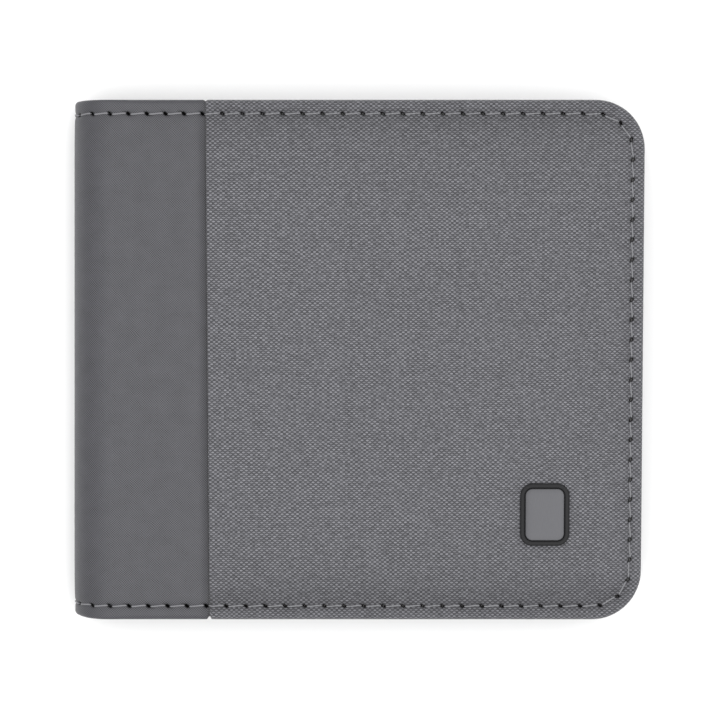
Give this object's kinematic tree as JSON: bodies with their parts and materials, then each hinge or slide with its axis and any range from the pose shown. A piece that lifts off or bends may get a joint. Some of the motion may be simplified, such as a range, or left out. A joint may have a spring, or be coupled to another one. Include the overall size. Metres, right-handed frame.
{
  "type": "bifold wallet",
  "caption": "Closed bifold wallet with padded woven covers, a coated trim round the fold, stitched edge, plain badge, note pocket, card slots and an identity window; it opens flat.",
  "frame": {"origin": "under the middle of the closed wallet, on the plane of its back cover", "axes": "+X from the fold to the free edge, +Y from the sewn bottom to the open top, +Z out of the front cover"},
  "size_m": [0.11, 0.1, 0.0149],
  "materials": {
    "woven_fabric": "plain woven melange, matt",
    "coated_trim": "fine grained coated, satin",
    "padding_foam": "soft foam",
    "lining_cloth": "smooth fine twill",
    "inner_leather": "grained coated, satin",
    "thread": "twisted polyester",
    "clear_film": "clear, glossy",
    "badge_rim": "satin",
    "badge_face": "satin",
    "badge_plate": "plain"
  },
  "bodies": {
    "back_half": {"back_fabric_panel": "woven_fabric", "back_trim_panel": "coated_trim", "back_padding": "padding_foam", "back_lining": "lining_cloth", "back_inner_panel": "inner_leather", "back_note_pocket_seam": "lining_cloth", "back_card_sheet_1": "inner_leather", "back_card_sheet_2": "inner_leather", "back_card_sheet_3": "inner_leather", "back_card_sheet_4": "inner_leather", "back_slot_seams": "inner_leather", "back_edge_stitching": "thread"},
    "fold_strip_1": {"spine_trim_1": "coated_trim", "spine_lining_1": "lining_cloth", "spine_inner_panel_1": "inner_leather", "spine_stitching_1": "thread"},
    "fold_strip_2": {"spine_trim_2": "coated_trim", "spine_lining_2": "lining_cloth", "spine_inner_panel_2": "inner_leather", "spine_stitching_2": "thread"},
    "front_half": {"front_fabric_panel": "woven_fabric", "front_trim_panel": "coated_trim", "front_padding": "padding_foam", "front_lining": "lining_cloth", "front_inner_panel": "inner_leather", "front_note_pocket_seam": "lining_cloth", "front_card_sheet_1": "inner_leather", "front_card_sheet_2": "inner_leather", "id_window_film": "clear_film", "id_window_frame": "inner_leather", "front_slot_seams": "inner_leather", "front_edge_stitching": "thread", "badge_base": "badge_rim", "badge_face": "badge_face", "badge_backplate": "badge_plate"}
  },
  "joints": [
    {"name": "fold_line_1", "type": "hinge", "parent": "back_half", "child": "fold_strip_1", "pos_m": [-0.0515, 0, 0.00094], "axis": [0, -1, 0], "range_deg": [0, 60]},
    {"name": "fold_line_2", "type": "hinge", "parent": "fold_strip_1", "child": "fold_strip_2", "pos_m": [-0.055, 0, 0.007], "axis": [0, -1, 0], "range_deg": [0, 60]},
    {"name": "cover_fold", "type": "hinge", "parent": "fold_strip_2", "child": "front_half", "pos_m": [-0.0515, 0, 0.01306], "axis": [0, -1, 0], "range_deg": [0, 60]}
  ],
  "couplings": [
    {"joint": "fold_line_1", "follows": "cover_fold", "ratio": 1},
    {"joint": "fold_line_2", "follows": "cover_fold", "ratio": 1}
  ]
}
